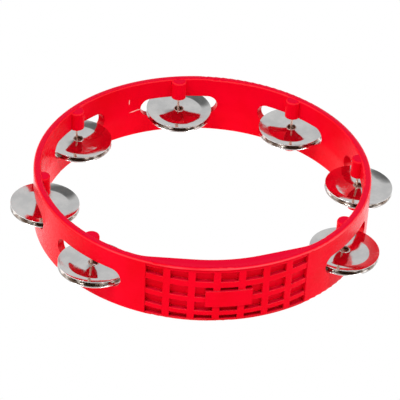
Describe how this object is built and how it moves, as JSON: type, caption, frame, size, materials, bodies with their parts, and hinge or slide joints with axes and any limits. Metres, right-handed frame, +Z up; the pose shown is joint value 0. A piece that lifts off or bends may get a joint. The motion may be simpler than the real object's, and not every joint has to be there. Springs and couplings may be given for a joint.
{
  "type": "tambourine",
  "caption": "Headless toy tambourine: a round moulded hoop with a waffle grip and long slots, in which metal jingles spin and slide on upright pins.",
  "frame": {"origin": "on the hoop's own axis, in the plane of its bottom rim", "axes": "+Z up along the hoop's axis, -Y towards the middle of the waffle grip, +X to the right of somebody facing the grip"},
  "size_m": [0.231, 0.2143, 0.0375],
  "materials": {
    "hoop_plastic": "gloss",
    "jingle_plate": "polished",
    "pin_steel": "satin"
  },
  "bodies": {
    "hoop": {"hoop": "hoop_plastic", "pin_front_right": "pin_steel", "pin_right": "pin_steel", "pin_rear_right": "pin_steel", "pin_rear": "pin_steel", "pin_rear_left": "pin_steel", "pin_left": "pin_steel", "pin_front_left": "pin_steel"},
    "lower_jingle_front_right": {"lower_jingle_front_right": "jingle_plate"},
    "upper_jingle_front_right": {"upper_jingle_front_right": "jingle_plate"},
    "lower_jingle_right": {"lower_jingle_right": "jingle_plate"},
    "upper_jingle_right": {"upper_jingle_right": "jingle_plate"},
    "lower_jingle_rear_right": {"lower_jingle_rear_right": "jingle_plate"},
    "upper_jingle_rear_right": {"upper_jingle_rear_right": "jingle_plate"},
    "lower_jingle_rear": {"lower_jingle_rear": "jingle_plate"},
    "upper_jingle_rear": {"upper_jingle_rear": "jingle_plate"},
    "lower_jingle_rear_left": {"lower_jingle_rear_left": "jingle_plate"},
    "upper_jingle_rear_left": {"upper_jingle_rear_left": "jingle_plate"},
    "lower_jingle_left": {"lower_jingle_left": "jingle_plate"},
    "upper_jingle_left": {"upper_jingle_left": "jingle_plate"},
    "lower_jingle_front_left": {"lower_jingle_front_left": "jingle_plate"},
    "upper_jingle_front_left": {"upper_jingle_front_left": "jingle_plate"}
  },
  "joints": [
    {"name": "lower_jingle_front_right_spin", "type": "hinge", "parent": "hoop", "child": "lower_jingle_front_right", "pos_m": [0.074, -0.06209, 0.01535], "axis": [0.0269, -0.0223, 0.9994], "continuous": true},
    {"name": "upper_jingle_front_right_slide", "type": "slide", "parent": "hoop", "child": "upper_jingle_front_right", "axis": [0, 0, 1], "range_m": [0, 0.0063]},
    {"name": "lower_jingle_right_spin", "type": "hinge", "parent": "hoop", "child": "lower_jingle_right", "pos_m": [0.09625, 0, 0.01535], "axis": [0.0436, 0, 0.999], "continuous": true},
    {"name": "upper_jingle_right_slide", "type": "slide", "parent": "hoop", "child": "upper_jingle_right", "axis": [0, 0, 1], "range_m": [0, 0.0063]},
    {"name": "lower_jingle_rear_right_spin", "type": "hinge", "parent": "hoop", "child": "lower_jingle_rear_right", "pos_m": [0.06757, 0.066, 0.01535], "axis": [-0.0186, -0.0184, 0.9997], "continuous": true},
    {"name": "upper_jingle_rear_right_slide", "type": "slide", "parent": "hoop", "child": "upper_jingle_rear_right", "axis": [0, 0, 1], "range_m": [0, 0.0063]},
    {"name": "lower_jingle_rear_spin", "type": "hinge", "parent": "hoop", "child": "lower_jingle_rear", "pos_m": [0.0002, 0.0934, 0.01535], "axis": [0, -0.061, 0.9981], "continuous": true},
    {"name": "upper_jingle_rear_slide", "type": "slide", "parent": "hoop", "child": "upper_jingle_rear", "axis": [0, 0, 1], "range_m": [0, 0.0063]},
    {"name": "lower_jingle_rear_left_spin", "type": "hinge", "parent": "hoop", "child": "lower_jingle_rear_left", "pos_m": [-0.06664, 0.06544, 0.01535], "axis": [0.0248, -0.0245, 0.9994], "continuous": true},
    {"name": "upper_jingle_rear_left_slide", "type": "slide", "parent": "hoop", "child": "upper_jingle_rear_left", "axis": [0, 0, 1], "range_m": [0, 0.0063]},
    {"name": "lower_jingle_left_spin", "type": "hinge", "parent": "hoop", "child": "lower_jingle_left", "pos_m": [-0.09365, 0, 0.01535], "axis": [0.0349, 0, 0.9994], "continuous": true},
    {"name": "upper_jingle_left_slide", "type": "slide", "parent": "hoop", "child": "upper_jingle_left", "axis": [0, 0, 1], "range_m": [0, 0.0063]},
    {"name": "lower_jingle_front_left_spin", "type": "hinge", "parent": "hoop", "child": "lower_jingle_front_left", "pos_m": [-0.07162, -0.06011, 0.01535], "axis": [0.047, 0.039, 0.9981], "continuous": true},
    {"name": "upper_jingle_front_left_slide", "type": "slide", "parent": "hoop", "child": "upper_jingle_front_left", "axis": [0, 0, 1], "range_m": [0, 0.0063]}
  ]
}
